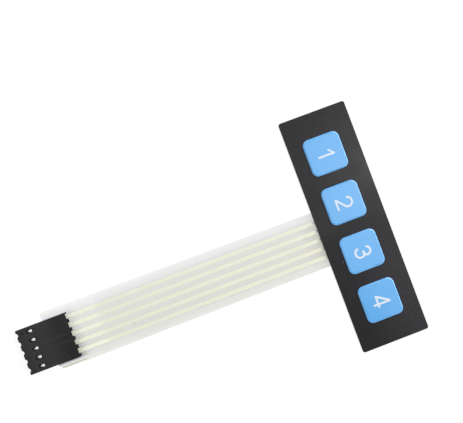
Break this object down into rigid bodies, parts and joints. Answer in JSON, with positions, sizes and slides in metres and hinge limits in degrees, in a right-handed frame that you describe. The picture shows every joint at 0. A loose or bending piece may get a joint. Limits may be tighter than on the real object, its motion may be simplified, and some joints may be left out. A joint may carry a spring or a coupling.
{
  "type": "membrane keypad",
  "caption": "Flat embossed keypad in a single row of square keys, with a clear film tail that ends in a crimped pin-header socket.",
  "frame": {"origin": "middle of the keypad's back face, on the surface that it lies on", "axes": "+X from key 1 to key 4, +Y to the tops of the numerals and away from the tail, +Z out of the keypad's face"},
  "size_m": [0.069, 0.1091, 0.0025],
  "materials": {
    "overlay_film": "fine matte polyester film, printed black",
    "key_ink": "satin light blue ink",
    "numeral_ink": "satin white ink",
    "adhesive_film": "translucent acrylic adhesive",
    "clear_film": "clear polyester film, slightly hazy",
    "spacer_film": "clear adhesive-coated polyester film",
    "printed_conductor": "pale printed conductor with a fine grain",
    "liner_paper": "coated release paper",
    "housing_plastic": "moulded glass-filled nylon, matte black",
    "tinned_metal": "bright tin on stamped phosphor bronze"
  },
  "bodies": {
    "root": {"graphic_overlay": "overlay_film", "overlay_adhesive": "adhesive_film", "upper_circuit_film": "clear_film", "common_circuit": "printed_conductor", "spacer": "spacer_film", "lower_circuit_film": "clear_film", "left_edge_mark": "printed_conductor", "right_edge_mark": "printed_conductor", "rear_adhesive": "adhesive_film", "release_liner": "liner_paper", "connector_housing": "housing_plastic", "key_print_1": "key_ink", "key_print_2": "key_ink", "key_print_3": "key_ink", "key_print_4": "key_ink", "numeral_1": "numeral_ink", "numeral_2": "numeral_ink", "numeral_3": "numeral_ink", "numeral_4": "numeral_ink", "key_line_1": "printed_conductor", "key_line_2": "printed_conductor", "key_line_3": "printed_conductor", "key_line_4": "printed_conductor", "terminal_1": "tinned_metal", "terminal_2": "tinned_metal", "terminal_3": "tinned_metal", "terminal_4": "tinned_metal", "terminal_5": "tinned_metal"}
  },
  "joints": []
}
